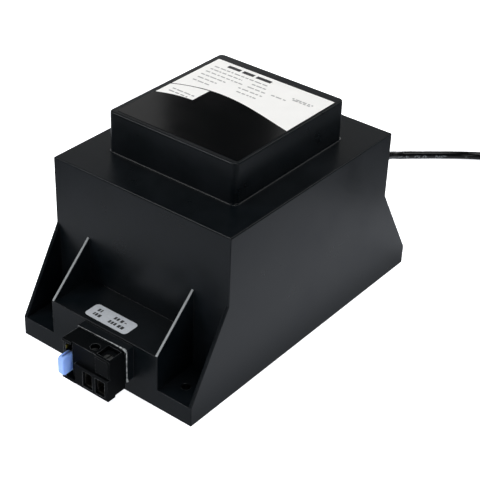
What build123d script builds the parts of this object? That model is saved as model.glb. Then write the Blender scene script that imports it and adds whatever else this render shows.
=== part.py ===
from build123d import *
from math import radians, tan
import os

# Low voltage transformer, potted in a moulded housing
#
# Everything is in millimetres. The housing is drawn about its own centre: X runs across it, the
# terminal end looks along -Y, the mains cord leaves at +Y, and Z is up from the mounting plane.
# Each piece is moved along Y at the end, so that the origin is under the middle of the whole device.
# The housing is sized round its core and coil: their sizes drive it, with the room left round them.

# Transformer core, stamped E and I sheets in one stack
core_length = 120.0
core_width = 100.0
core_leg = 20.0
core_stack = 61.0
core_bolt_inset = 10.0
core_bolt_diameter = 5.0
core_bolt_clearance = 0.4
bolt_head_across = 8.0
bolt_head_height = 3.5
nut_height = 4.0
washer_diameter = 10.0
washer_thickness = 1.0
bolt_tail = 2.0

# Bobbin, windings and their wrap
bobbin_gap = 0.3
bobbin_end_gap = 0.5
bobbin_wall = 1.5
bobbin_corner = 1.5
cheek_thickness = 1.5
cheek_rise = 1.4
cheek_clearance = 1.2
cheek_corner = 3.0
winding_corner = 6.0
wrap_thickness = 0.6
winding_clearance = 0.2
primary_share = 0.5
cutout_length = 12.0
cutout_width = 5.0
cutout_height = 3.0
cutout_corner = 0.8

# Room in the housing, from the core or the coil to the inside of its walls
room_core_x = 5.0
room_core_y = 5.5
room_over_core = 7.0
room_under_coil = 6.7
room_over_coil = 11.2
room_coil_x = 9.0
room_coil_y = 3.7

# Housing
wall = 2.5
flange_reach = 27.0
flange_height = 11.0
gusset_top = 57.0
bay_width = 71.5
bay_height = 31.5
outer_gusset = 2.0
inner_gusset = 1.6
top_corner_radius = 3.0
top_inner_radius = 2.5
top_edge_radius = 1.0
body_edge_radius = 0.8
foot_radius = 1.0
edge_radius = 0.4
core_rest_width = 2.0
core_rest_hold = 4.0
core_rest_spacing = 48.0

# Mounting holes in the flanges, and the ribs under them
hole_inset_x = 13.0
hole_inset_y = 11.5
hole_diameter = 5.0
boss_diameter = 11.0
flange_rib = 1.6
flange_rib_lift = 1.0

# Potting
resin_recess = 1.5

# Terminal block and the collar that it plugs into
block_width = 31.2
block_offset = 3.8
block_bottom = 7.0
head_reach = 10.8
lower_reach = 12.7
lower_depth = 5.4
lower_top = 18.6
lower_bottom = 5.8
lower_width = 22.4
collar_reach = 5.2
collar_wall = 1.8
collar_setdown = 1.1
collar_lift = 3.6
collar_corner = 0.6
block_ledge = 0.8
neck_length = 14.2
neck_clearance = 0.2
hook_reach = 0.9
hook_root = 1.0
hook_length = 3.0
hook_height = 6.0
hook_lift = 4.6

# Wire entries, cages and screws
terminal_count = 2
terminal_pitch = 8.4
terminal_inset = 5.3
entry_width = 6.4
entry_height = 9.4
entry_floor = 1.6
entry_depth = 11.0
cage_wall = 0.7
cage_recess = 1.7
screw_well = 5.2
screw_shank = 3.0
screw_head = 4.6
screw_head_height = 2.6
screw_slot = 0.8
screw_slot_depth = 1.0
screw_sink = 2.4
screw_tip = 2.6
pole_recess = 2.4
pole_rim = 1.2
shroud_step = 1.0
shroud_lift = 0.4
shroud_chamfer = 0.7
block_corner = 1.0
block_edge = 0.3

# Blade fuse of the small automotive size, its cell and its clips
fuse_width = 10.9
fuse_thickness = 3.8
fuse_body_depth = 8.8
fuse_full_depth = 16.3
fuse_height = 16.6
fuse_seat = 2.3
fuse_head_depth = 3.4
fuse_head_corner = 0.9
fuse_waist_side = 0.4
fuse_waist_end = 0.5
fuse_slot_width = 2.0
fuse_slot_height = 3.2
fuse_slot_depth = 0.6
element_inset = 2.0
element_bridge = 2.0
element_edge = 1.4
blade_width = 2.8
blade_thickness = 0.8
blade_spacing = 8.1
fuse_cell_width = 4.8
fuse_cell_wall = 1.2
fuse_cell_lid = 1.5
fuse_cell_floor = 0.8
fuse_lid_reach = 1.0
clip_leaf = 0.5
clip_length = 7.0
clip_gap = 0.6

# Labels
rating_label_side = 2.5
rating_label_end = 4.5
rating_label_x = 1.0
rating_label_y = -1.6
rating_label_corner = 1.0
output_label_width = 28.0
output_label_length = 10.6
output_label_x = -2.1
output_label_setback = 8.2
output_label_corner = 2.2
label_thickness = 0.15

# Mains cord, its gland and its clamp
cord_diameter = 5.2
cord_height = 17.0
cord_inside = 11.0
gland_flange = 13.0
gland_flange_depth = 2.0
gland_neck = 8.4
gland_lock_reach = 1.2
gland_lock_depth = 1.6
gland_root = 10.4
gland_tip = 7.2
gland_length = 32.0
gland_rings = 4
gland_groove = 1.4
gland_groove_depth = 0.7
clamp_width = 20.0
clamp_depth = 6.0
clamp_height = 12.0
clamp_gap = 0.6
clamp_corner = 1.5

# Leads inside the potting
core_wire = 2.0
core_wire_gap = 0.4
output_wire = 3.0
lead_bend = 4.0
lead_spread = 4.0
lead_rise = 8.0
mains_lead_run = 18.0
mains_lead_end = 10.0
output_lead_run = 14.0
output_lead_end = 12.0

# Route of the cord outside the gland: sideways and away from the gland's tip, with its height
cord_route = [
    (0.0, 0.0, 17.0),
    (0.0, 19.0, 17.0),
    (-2.4, 43.5, 15.6),
    (4.0, 64.5, 10.2),
    (11.8, 81.5, 5.7),
    (21.8, 95.0, 3.1),
    (36.2, 106.4, 2.6),
    (51.5, 116.2, 2.6),
]

# Coil of the length that is put away, its tie and its tail
coil_mean_radius = 30.0
coil_rows = 3
coil_stub = 20.5
lead_overlap = 4.0
coil_corner = 1.5
tie_width = 4.0
tie_thickness = 1.0
tie_corner = 1.6
tail_route = [
    (0.0, 0.0, 7.8),
    (0.0, -9.0, 7.8),
    (0.6, -19.0, 7.0),
    (0.6, -28.0, 7.0),
]

# Flat two-pin mains plug
plug_width = 35.3
plug_thickness = 14.0
plug_length = 36.0
plug_nose = 13.0
plug_taper = 12.0
plug_face_inset = 5.0
plug_face_taper = 4.0
plug_side_radius = 1.5
plug_edge_chamfer = 1.4
plug_relief = 12.0
plug_relief_root = 10.0
pin_diameter = 4.0
pin_length = 19.0
pin_spacing = 18.6
pin_tip_chamfer = 1.2
pin_neck_diameter = 3.0
pin_neck_length = 3.5
pin_head_diameter = 5.0
pin_head_length = 1.5

# How far a cutter runs past the face that it cuts
cut_past = 1.0

# Sizes worked out from the ones above
window = (core_length - 4 * core_leg) / 2
winding_depth = window - bobbin_gap - bobbin_wall - cheek_rise - cheek_clearance
tube_length = core_width - 2 * core_leg - 2 * bobbin_end_gap
tube_half_y = core_leg + bobbin_gap + bobbin_wall
tube_half_z = core_stack / 2 + bobbin_gap + bobbin_wall
cheek_half_y = tube_half_y + winding_depth + cheek_rise
cheek_half_z = tube_half_z + winding_depth + cheek_rise
coil_centre_height = room_under_coil + cheek_half_z
core_bottom = coil_centre_height - core_stack / 2
core_top = coil_centre_height + core_stack / 2
half_length = core_length / 2 + room_core_y + wall
half_width = core_width / 2 + room_core_x + wall
body_height = core_top + room_over_core + wall
top_width = tube_length + 2 * (room_coil_x + wall)
top_length = 2 * (cheek_half_y + room_coil_y + wall)
total_height = coil_centre_height + cheek_half_z + room_over_coil + wall
flange_end = half_length + flange_reach
bay_half = bay_width / 2
hole_x = half_width - hole_inset_x
hole_y = flange_end - hole_inset_y
collar_face = -flange_end - collar_reach
head_face = collar_face - head_reach
lower_face = collar_face - lower_reach
block_left = block_offset - block_width / 2
block_right = block_offset + block_width / 2
collar_top = bay_height - collar_setdown
collar_left = block_left - block_ledge
collar_right = block_right + block_ledge
collar_bottom = block_bottom + collar_lift
block_top = collar_top - block_ledge
lower_left = block_right - lower_width
opening_left = collar_left + collar_wall
opening_right = collar_right - collar_wall
opening_bottom = collar_bottom + collar_wall
opening_top = collar_top - collar_wall
terminal_xs = [block_right - terminal_inset - n * terminal_pitch for n in range(terminal_count)]
entry_bottom = lower_bottom + entry_floor
entry_top = entry_bottom + entry_height
cage_front = lower_face + cage_recess
cage_back = lower_face + entry_depth
screw_y = (cage_front + cage_back) / 2
fuse_x = block_left + fuse_cell_wall + fuse_cell_width / 2
fuse_front = head_face + fuse_seat - fuse_body_depth
fuse_back = fuse_front + fuse_body_depth
blade_tip = fuse_front + fuse_full_depth
clip_back = blade_tip + clip_gap
cell_floor = block_bottom + fuse_cell_floor
cell_ceiling = block_top - fuse_cell_lid
gland_root_face = flange_end + gland_flange_depth
gland_end = gland_root_face + gland_length
cord_start = flange_end - cord_inside
coil_section = coil_rows * cord_diameter
coil_turn_radius = coil_mean_radius + coil_section / 2 - cord_diameter / 2
lead_height = coil_centre_height - tube_half_z - winding_depth + lead_rise
centre_shift = -(flange_end + fuse_front) / 2


def block(x0, x1, y0, y1, z0, z1):
    """Box from its low corner to its high corner."""
    return Pos((x0 + x1) / 2, (y0 + y1) / 2, (z0 + z1) / 2) * Box(x1 - x0, y1 - y0, z1 - z0)


def upright(x, y, z0, z1, diameter):
    """Round bar along Z."""
    return Pos(x, y, (z0 + z1) / 2) * Cylinder(diameter / 2, z1 - z0)


def along_y(x, z, y0, y1, diameter):
    """Round bar along Y."""
    return Pos(x, (y0 + y1) / 2, z) * Rot(90, 0, 0) * Cylinder(diameter / 2, y1 - y0)


def side_plate(points, x0, x1):
    """Plate between x0 and x1 with an outline given as (y, z) points."""
    face = Plane.YZ.offset(x0) * make_face(Polyline(*points, close=True))
    return extrude(face, amount=x1 - x0)


def ring_along_x(outside, inside, x0, x1):
    """Rectangular ring about the coil's axis, along X: half sizes in Y and Z, and a corner radius."""
    plane = Plane.YZ.offset(x0) * Pos(0, coil_centre_height)
    ring = plane * RectangleRounded(2 * outside[0], 2 * outside[1], outside[2])
    ring -= plane * RectangleRounded(2 * inside[0], 2 * inside[1], inside[2])
    return extrude(ring, amount=x1 - x0)


def hexagon_bar(x, y, z0, z1, across):
    """Hexagon bar along Z, by its width across the flats."""
    outline = Pos(x, y, z0) * RegularPolygon(across / 2, 6, major_radius=False)
    return extrude(outline, amount=z1 - z0)


def tube_along(points, radii, diameter):
    """Round tube along straight runs with an arc at each corner."""
    path = FilletPolyline(*points, radius=radii)
    start = Plane(origin=path @ 0, z_dir=path % 0)
    return sweep(start * Circle(diameter / 2), path=path)


def straight_tube(start, end, diameter):
    """Straight round bar from one point to another."""
    plane = Plane(origin=start, z_dir=end - start)
    return extrude(plane * Circle(diameter / 2), amount=(end - start).length)


def corner_radii(points):
    """Arc at each corner: 0.45 of its shorter run over the tangent of half its turn."""
    radii = []
    for before, here, after in zip(points, points[1:], points[2:]):
        turn = (here - before).get_angle(after - here)
        shorter = min((here - before).length, (after - here).length)
        radii.append(0.45 * shorter / tan(radians(turn / 2)))
    return radii


def housing_outside():
    """Outer form: body, flanges, bays and the gussets that rise from them."""
    side = [
        (-flange_end, 0), (flange_end, 0), (flange_end, flange_height), (half_length, gusset_top),
        (half_length, body_height), (-half_length, body_height), (-half_length, gusset_top),
        (-flange_end, flange_height),
    ]
    shape = block(-half_width, half_width, -half_length, half_length, 0, body_height)
    shape += block(-half_width, half_width, -flange_end, flange_end, 0, flange_height)
    shape += block(-bay_half, bay_half, -flange_end, flange_end, 0, bay_height)
    shape += side_plate(side, -half_width, -half_width + outer_gusset)
    shape += side_plate(side, half_width - outer_gusset, half_width)
    for end in (-1, 1):
        near, far = end * half_length, end * flange_end
        web = [(far, bay_height), (near, bay_height), (near, gusset_top)]
        shape += side_plate(web, -bay_half, -bay_half + inner_gusset)
        shape += side_plate(web, bay_half - inner_gusset, bay_half)
    return shape


def stepped_top():
    """Raised block over the coil, with rounded corners and a rounded upper edge."""
    outline = Pos(0, 0, body_height) * RectangleRounded(top_width, top_length, top_corner_radius)
    shape = extrude(outline, amount=total_height - body_height)
    return fillet(shape.faces().sort_by(Axis.Z)[-1].edges(), top_edge_radius)


def main_cavity():
    """Space that the potting fills: body, stepped top and both bays."""
    shape = block(wall - half_width, half_width - wall, wall - half_length, half_length - wall,
                  0, body_height - wall)
    top = Pos(0, 0, body_height - 2 * wall) * RectangleRounded(
        top_width - 2 * wall, top_length - 2 * wall, top_inner_radius)
    shape += extrude(top, amount=total_height - body_height + wall)
    shape += block(wall - bay_half, bay_half - wall, wall - flange_end, flange_end - wall,
                   0, bay_height - wall)
    return shape


def flange_pocket(side, end):
    """Hollow under one corner of a flange, round the boss and the ribs of its mounting hole."""
    x0, x1 = sorted((side * bay_half, side * (half_width - wall)))
    y0, y1 = sorted((end * half_length, end * (flange_end - wall)))
    x, y = side * hole_x, end * hole_y
    ceiling = flange_height - wall
    pocket = block(x0, x1, y0, y1, 0, ceiling)
    pocket -= upright(x, y, 0, ceiling, boss_diameter)
    pocket -= block(x0, x1, y - flange_rib / 2, y + flange_rib / 2, flange_rib_lift, ceiling)
    pocket -= block(x - flange_rib / 2, x + flange_rib / 2, y0, y1, flange_rib_lift, ceiling)
    return pocket + upright(x, y, -cut_past, flange_height + cut_past, hole_diameter)


def core_rests():
    """Ribs inside the housing that hold the core stack off its roof."""
    ribs = []
    for side in (-1, 1):
        for y in (-core_rest_spacing / 2, core_rest_spacing / 2):
            x0, x1 = sorted((side * (core_width / 2 - core_rest_hold), side * (half_width - wall)))
            ribs.append(block(x0, x1, y - core_rest_width / 2, y + core_rest_width / 2,
                              core_top, body_height - wall))
    return ribs


def soft_edges(shape):
    """Small rounds on the gussets' slopes, the upright corners and the front edges of the bays."""
    lines = shape.edges().filter_by(GeomType.LINE)
    slopes = lines.filter_by(lambda e: abs((e % 0).Y) > 0.1 and abs((e % 0).Z) > 0.1)
    corners = [(half_width, half_length), (half_width, flange_end), (bay_half, flange_end)]
    uprights = lines.filter_by(Axis.Z).filter_by(
        lambda e: any(abs(abs(e.center().X) - x) < 0.1 and abs(abs(e.center().Y) - y) < 0.1
                      for x, y in corners))
    shape = fillet(slopes + uprights, edge_radius)
    fronts = shape.edges().filter_by_position(Axis.Z, bay_height, bay_height).filter_by(
        lambda e: abs(abs(e.center().Y) - flange_end) < 0.1 and e.length > bay_half)
    return fillet(fronts, edge_radius)


def make_housing():
    """One moulding, open underneath."""
    shape = housing_outside() + stepped_top()
    shoulder = shape.edges().filter_by_position(Axis.Z, body_height, body_height)
    foot = shoulder.filter_by(lambda e: abs(e.center().X) < top_width / 2 + 0.1
                              and abs(e.center().Y) < top_length / 2 + 0.1)
    shape = fillet(foot, foot_radius)
    shoulder = shape.edges().filter_by_position(Axis.Z, body_height, body_height)
    rim = shoulder.filter_by(lambda e: abs(e.center().X) > half_width - 0.1
                             or abs(e.center().Y) > half_length - 0.1)
    shape = fillet(rim, body_edge_radius)
    collar = block(collar_left, collar_right, collar_face, -flange_end, collar_bottom, collar_top)
    shape += fillet(collar.edges().filter_by(Axis.Y), collar_corner)
    shape -= main_cavity()
    for side in (-1, 1):
        for end in (-1, 1):
            shape -= flange_pocket(side, end)
    shape -= block(opening_left, opening_right, collar_face, wall - flange_end, opening_bottom, opening_top)
    shape -= along_y(0, cord_height, flange_end - wall, flange_end, gland_neck)
    for rib in core_rests():
        shape += rib
    return soft_edges(shape)


def bolt_places():
    """Corners of the core where its bolts pass."""
    x, y = core_width / 2 - core_bolt_inset, core_length / 2 - core_bolt_inset
    return [(side * x, end * y) for side in (-1, 1) for end in (-1, 1)]


def make_core():
    """E stack with its back at -X, and I stack that closes it at +X."""
    back, end = core_width / 2, core_length / 2
    e_stack = block(-back, core_leg - back, -end, end, core_bottom, core_top)
    for y0, y1 in ((-end, core_leg - end), (-core_leg, core_leg), (end - core_leg, end)):
        e_stack += block(-back, back - core_leg, y0, y1, core_bottom, core_top)
    i_stack = block(back - core_leg, back, -end, end, core_bottom, core_top)
    for x, y in bolt_places():
        hole = upright(x, y, core_bottom, core_top, core_bolt_diameter + 2 * core_bolt_clearance)
        if x < 0:
            e_stack -= hole
        else:
            i_stack -= hole
    return e_stack, i_stack


def make_core_bolts():
    """Four bolts, head up, each with a washer and a nut below the stack."""
    bolts, nuts, washers = [], [], []
    nut_seat = core_bottom - washer_thickness
    for x, y in bolt_places():
        shank = upright(x, y, nut_seat - nut_height - bolt_tail, core_top, core_bolt_diameter)
        bolts.append(shank + hexagon_bar(x, y, core_top, core_top + bolt_head_height, bolt_head_across))
        nut = hexagon_bar(x, y, nut_seat - nut_height, nut_seat, bolt_head_across)
        nuts.append(nut - upright(x, y, nut_seat - nut_height, nut_seat, core_bolt_diameter))
        disc = upright(x, y, nut_seat, core_bottom, washer_diameter)
        washers.append(disc - upright(x, y, nut_seat, core_bottom, core_bolt_diameter))
    return Compound(bolts), Compound(nuts), Compound(washers)


def chamber_ends():
    """Start and end along X of the primary and the secondary chamber."""
    low, high = cheek_thickness - tube_length / 2, tube_length / 2 - cheek_thickness
    divider = low + (high - low) * primary_share
    return (low, divider - cheek_thickness / 2), (divider + cheek_thickness / 2, high)


def make_bobbin():
    """Tube round the middle leg with two end cheeks and a divider."""
    half = tube_length / 2
    inside = (core_leg + bobbin_gap, core_stack / 2 + bobbin_gap, 3 * bobbin_gap)
    shape = ring_along_x((tube_half_y, tube_half_z, bobbin_corner), inside, -half, half)
    primary, secondary = chamber_ends()
    for x0, x1 in ((-half, primary[0]), (primary[1], secondary[0]), (secondary[1], half)):
        shape += ring_along_x((cheek_half_y, cheek_half_z, cheek_corner), inside, x0, x1)
    return shape


def make_winding(chamber):
    """Wound copper in one chamber, and the tape wrapped over it."""
    x0, x1 = chamber[0] + winding_clearance, chamber[1] - winding_clearance
    tube = (tube_half_y, tube_half_z, bobbin_corner)
    wound = (tube_half_y + winding_depth, tube_half_z + winding_depth, winding_corner)
    wrapped = tuple(size + wrap_thickness for size in wound)
    return ring_along_x(wound, tube, x0, x1), ring_along_x(wrapped, wound, x0, x1)


def make_cutout(chamber):
    """Thermal cut-out, laid on the wrap of the primary winding."""
    x = (chamber[0] + chamber[1]) / 2
    z = coil_centre_height + tube_half_z + winding_depth + wrap_thickness
    shape = block(x - cutout_width / 2, x + cutout_width / 2, -cutout_length / 2, cutout_length / 2,
                  z, z + cutout_height)
    return fillet(shape.edges().filter_by(Axis.Y), cutout_corner)


def retention_hook(side):
    """Barb on one side of the neck, which snaps in behind the collar's wall."""
    x = opening_left if side < 0 else opening_right
    x0, x1 = sorted((x - side * hook_root, x + side * hook_reach))
    seat = wall - flange_end
    barb = [(x0, seat), (x1, seat), (x - side * neck_clearance, seat + hook_length)]
    face = Pos(0, 0, opening_bottom + hook_lift) * make_face(Polyline(*barb, close=True))
    return extrude(face, amount=hook_height)


def round_top_right(shape, radius):
    """Round the upper right edge of a box, along Y."""
    return fillet(shape.edges().filter_by(Axis.Y).sort_by(Axis.Z)[-2:].sort_by(Axis.X)[-1], radius)


def make_terminal_block():
    """Two screw terminals and a fuse cell in one moulding, with a neck that plugs into the collar."""
    head = block(block_left, block_right, head_face, collar_face, block_bottom, block_top)
    shape = round_top_right(head, block_corner)
    lower = block(lower_left, block_right, lower_face, lower_face + lower_depth, lower_bottom, lower_top)
    shape += fillet(lower.faces().sort_by(Axis.Y)[0].edges(), block_edge)
    shape += block(block_left, fuse_x + fuse_cell_width / 2, head_face - fuse_lid_reach, collar_face,
                   cell_ceiling, block_top)
    shape += block(block_left, lower_left, lower_face, collar_face, lower_bottom, cell_floor)
    shroud = block(terminal_xs[0] - terminal_pitch / 2, block_right, head_face - shroud_step,
                   head_face + shroud_step, lower_top + shroud_lift, block_top)
    shroud = round_top_right(shroud, block_corner)
    shape += chamfer(shroud.faces().sort_by(Axis.Y)[0].edges(), shroud_chamfer)
    shape += block(opening_left + neck_clearance, opening_right - neck_clearance, collar_face,
                   collar_face + neck_length, opening_bottom + neck_clearance, opening_top - neck_clearance)
    for side in (-1, 1):
        shape += retention_hook(side)
    shape -= block(fuse_x - fuse_cell_width / 2, fuse_x + fuse_cell_width / 2, lower_face - cut_past,
                   clip_back, cell_floor, cell_ceiling)
    for x in terminal_xs:
        shape -= block(x - entry_width / 2, x + entry_width / 2, lower_face, cage_back,
                       entry_bottom, entry_top)
        shape -= upright(x, screw_y, entry_top, block_top, screw_well)
    shape -= block(terminal_xs[0] - terminal_pitch / 2, block_right - pole_rim, head_face + pole_rim,
                   collar_face - pole_rim, block_top - pole_recess, block_top)
    return shape


def make_cage(x):
    """Clamp cage of bent strip round one wire entry, threaded for its screw."""
    half = entry_width / 2
    shape = block(x - half, x + half, cage_front, cage_back, entry_bottom, entry_top)
    shape -= block(x - half + cage_wall, x + half - cage_wall, cage_front, cage_back,
                   entry_bottom + cage_wall, entry_top - cage_wall)
    return shape - upright(x, screw_y, entry_top - cage_wall, entry_top, screw_shank)


def make_clamp_screw(x):
    """Slotted clamp screw, from the top of its well into the cage."""
    head_top = block_top - screw_sink
    shape = upright(x, screw_y, entry_top - screw_tip, head_top - screw_head_height, screw_shank)
    head = upright(x, screw_y, head_top - screw_head_height, head_top, screw_head)
    head -= block(x - screw_slot / 2, x + screw_slot / 2, screw_y - screw_head, screw_y + screw_head,
                  head_top - screw_slot_depth, head_top)
    return shape + head


def make_fuse():
    """Moulded fuse body with a wider head, and the stamped element with two blades."""
    half = fuse_width / 2
    side = fuse_thickness / 2
    head = block(fuse_x - side, fuse_x + side, fuse_front, fuse_front + fuse_head_depth,
                 fuse_height - half, fuse_height + half)
    head = fillet(head.edges().filter_by(Axis.X), fuse_head_corner)
    waist = block(fuse_x - side + fuse_waist_side, fuse_x + side - fuse_waist_side,
                  fuse_front + fuse_head_depth, fuse_back,
                  fuse_height - half + fuse_waist_end, fuse_height + half - fuse_waist_end)
    slot = block(fuse_x - fuse_slot_width / 2, fuse_x + fuse_slot_width / 2, fuse_front,
                 fuse_front + fuse_slot_depth, fuse_height - fuse_slot_height / 2,
                 fuse_height + fuse_slot_height / 2)
    body = head + waist - slot
    leaf = blade_thickness / 2
    bridge = fuse_front + element_inset
    element = block(fuse_x - leaf, fuse_x + leaf, bridge, bridge + element_bridge,
                    fuse_height - half + element_edge, fuse_height + half - element_edge)
    for end in (-1, 1):
        z = fuse_height + end * blade_spacing / 2
        element += block(fuse_x - leaf, fuse_x + leaf, bridge, blade_tip,
                         z - blade_width / 2, z + blade_width / 2)
    return body - element, element


def make_fuse_clip(end):
    """Sprung clip of brass strip, two leaves on one blade and a foot at the back."""
    z = fuse_height + end * blade_spacing / 2
    z0, z1 = z - blade_width / 2, z + blade_width / 2
    leaf = blade_thickness / 2
    shape = block(fuse_x - leaf - clip_leaf, fuse_x + leaf + clip_leaf, clip_back - clip_length,
                  clip_back, z0, z1)
    return shape - block(fuse_x - leaf, fuse_x + leaf, clip_back - clip_length, clip_back - clip_leaf, z0, z1)


def make_rating_label():
    """Film label that covers the stepped top, stuck a little off its middle."""
    outline = RectangleRounded(top_width - 2 * rating_label_side, top_length - 2 * rating_label_end,
                               rating_label_corner)
    place = Pos(rating_label_x, rating_label_y, total_height)
    return extrude(place * outline, amount=label_thickness)


def make_output_label():
    """Small rounded label on the terminal bay."""
    outline = RectangleRounded(output_label_width, output_label_length, output_label_corner)
    place = Pos(output_label_x, output_label_setback - flange_end, bay_height)
    return extrude(place * outline, amount=label_thickness)


def make_gland():
    """Rubber gland: neck in the wall, a flange each side and a grooved taper round the cord."""
    bore, neck = cord_diameter / 2, gland_neck / 2
    lock = neck + gland_lock_reach
    inside = flange_end - wall
    outline = [
        (bore, inside - gland_lock_depth), (lock, inside - gland_lock_depth), (lock, inside),
        (neck, inside), (neck, flange_end), (gland_flange / 2, flange_end),
        (gland_flange / 2, gland_root_face), (gland_root / 2, gland_root_face),
        (gland_tip / 2, gland_end), (bore, gland_end),
    ]
    shape = revolve(make_face(Polyline(*outline, close=True)), Axis.Y, 360)
    for ring in range(gland_rings):
        share = (ring + 1) / (gland_rings + 1)
        y = gland_root_face + gland_length * share
        outer = gland_root + (gland_tip - gland_root) * share
        groove = along_y(0, 0, y - gland_groove / 2, y + gland_groove / 2, outer + 2 * cut_past)
        groove -= along_y(0, 0, y - gland_groove / 2, y + gland_groove / 2, outer - 2 * gland_groove_depth)
        shape -= groove
    return Pos(0, 0, cord_height) * shape


def make_cord_clamp():
    """Saddle inside the rear bay that holds the cord against a pull."""
    y0 = cord_start + clamp_gap
    shape = block(-clamp_width / 2, clamp_width / 2, y0, y0 + clamp_depth,
                  cord_height - clamp_height / 2, cord_height + clamp_height / 2)
    shape = fillet(shape.edges().filter_by(Axis.Y), clamp_corner)
    return shape - along_y(0, cord_height, y0, y0 + clamp_depth, cord_diameter)


def make_cord():
    """Sheathed cord from the clamp, through the gland and along its route to the coil."""
    points = [Vector(x, gland_end + y, z) for x, y, z in cord_route]
    radii = corner_radii(points)
    print("cord radii", [round(r, 1) for r in radii])
    inner_end = Vector(points[0].X, cord_start, cord_height)
    return tube_along([inner_end] + points[1:], radii, cord_diameter), points


def make_coil(points):
    """Outer form of the coil with a straight lead in and out, and the tie in its groove."""
    heading = (points[-1] - points[-2]).normalized()
    entry = points[-1] + heading * coil_stub
    centre = entry + Vector(heading.Y, -heading.X, 0) * coil_turn_radius
    outline = chamfer(Rectangle(coil_section, coil_section).vertices(), coil_corner)
    outline = Plane.XZ * Pos(coil_mean_radius, coil_section / 2) * outline
    coil = Pos(centre.X, centre.Y, 0) * revolve(outline, Axis.Z, 360)

    def tie_block(inset):
        """Stretch of the coil under the tie, drawn in by the inset."""
        near = centre.Y - coil_mean_radius - coil_section / 2 + inset
        return block(centre.X - tie_width / 2, centre.X + tie_width / 2, near,
                     near + coil_section - 2 * inset, inset, coil_section - inset)

    coil -= tie_block(-cut_past) - tie_block(tie_thickness)
    tie = fillet(tie_block(0).edges().filter_by(Axis.X), tie_corner) - tie_block(tie_thickness)
    leave = Vector(centre.X + coil_turn_radius, centre.Y, coil_section / 2)
    tail_start = leave - Vector(0, coil_stub, 0)
    coil += straight_tube(points[-1], entry - heading * lead_overlap, cord_diameter)
    coil += straight_tube(leave - Vector(0, lead_overlap, 0), tail_start, cord_diameter)
    return coil, tie, tail_start


def make_tail(start):
    """Short stretch of cord from the coil to the plug."""
    points = [Vector(start.X + x, start.Y + y, z) for x, y, z in tail_route]
    radii = corner_radii(points)
    print("tail radii", [round(r, 1) for r in radii])
    return tube_along(points, radii, cord_diameter), points[-1]


def make_plug(end):
    """Flat plug body with its relief, and two pins, each anchored in the body by a neck and a head."""
    back = end.Y - plug_relief
    face_y = back - plug_length
    half = plug_width / 2
    outline = [
        (-plug_nose / 2, back), (plug_nose / 2, back), (half, back - plug_taper),
        (half, face_y + plug_face_taper), (half - plug_face_inset, face_y),
        (plug_face_inset - half, face_y), (-half, face_y + plug_face_taper), (-half, back - plug_taper),
    ]
    body = extrude(make_face(Polyline(*outline, close=True)), amount=plug_thickness)
    body = fillet(body.edges().filter_by(Axis.Z), plug_side_radius)
    body = chamfer(body.faces().filter_by(Axis.Z).edges(), plug_edge_chamfer)
    middle = plug_thickness / 2
    relief = Cone(plug_relief_root / 2, gland_tip / 2, plug_relief)
    body += Pos(0, back + plug_relief / 2, middle) * Rot(-90, 0, 0) * relief
    pins = []
    for x in (-pin_spacing / 2, pin_spacing / 2):
        bar = along_y(x, middle, face_y - pin_length, face_y, pin_diameter)
        bar = chamfer(bar.faces().sort_by(Axis.Y)[0].edges(), pin_tip_chamfer)
        neck_end = face_y + pin_neck_length
        anchor = along_y(x, middle, face_y, neck_end, pin_neck_diameter)
        anchor += along_y(x, middle, neck_end, neck_end + pin_head_length, pin_head_diameter)
        body -= anchor
        pins.append(Pos(end.X, 0, 0) * (bar + anchor))
    return Pos(end.X, 0, 0) * body, Compound(pins)


def lead(points, diameter):
    """Insulated wire with one bend radius at each corner."""
    vectors = [Vector(*point) for point in points]
    return tube_along(vectors, [lead_bend] * (len(vectors) - 2), diameter)


def make_leads(primary, secondary):
    """Two cores from the cord to the primary, and two wires from the secondary to the block."""
    face = tube_half_y + winding_depth + wrap_thickness
    primary_middle = (primary[0] + primary[1]) / 2
    secondary_middle = (secondary[0] + secondary[1]) / 2
    neck_back = collar_face + neck_length
    neck_middle = (opening_bottom + opening_top) / 2
    leads = {}
    for name, side in (("primary_lead_live", -1), ("primary_lead_neutral", 1)):
        x = primary_middle + side * lead_spread
        end_x = side * (core_wire + core_wire_gap) / 2
        route = [(x, face, lead_height), (x, face + mains_lead_run, lead_height),
                 (end_x, cord_start - mains_lead_end, cord_height), (end_x, cord_start, cord_height)]
        leads[name] = lead(route, core_wire)
    for name, side, end_x in (("secondary_lead_common", -1, terminal_xs[-1]),
                              ("secondary_lead_fused", 1, terminal_xs[0])):
        x = secondary_middle + side * lead_spread
        route = [(x, -face, lead_height), (x, -face - output_lead_run, lead_height),
                 (end_x, neck_back + output_lead_end, neck_middle), (end_x, neck_back, neck_middle)]
        leads[name] = lead(route, output_wire)
    return leads


def make_resin(pieces):
    """Potting compound: the cavity above the recess, less every piece cast into it.

    The narrow gaps round the core bolts are closed by the heads and washers and stay empty.
    """
    shape = main_cavity()
    shape &= block(-half_width, half_width, wall - flange_end, flange_end - wall, resin_recess, total_height)
    for rib in core_rests():
        shape -= rib
    for piece in pieces:
        shape -= piece
    return max(shape.solids(), key=lambda solid: solid.volume)


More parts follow.
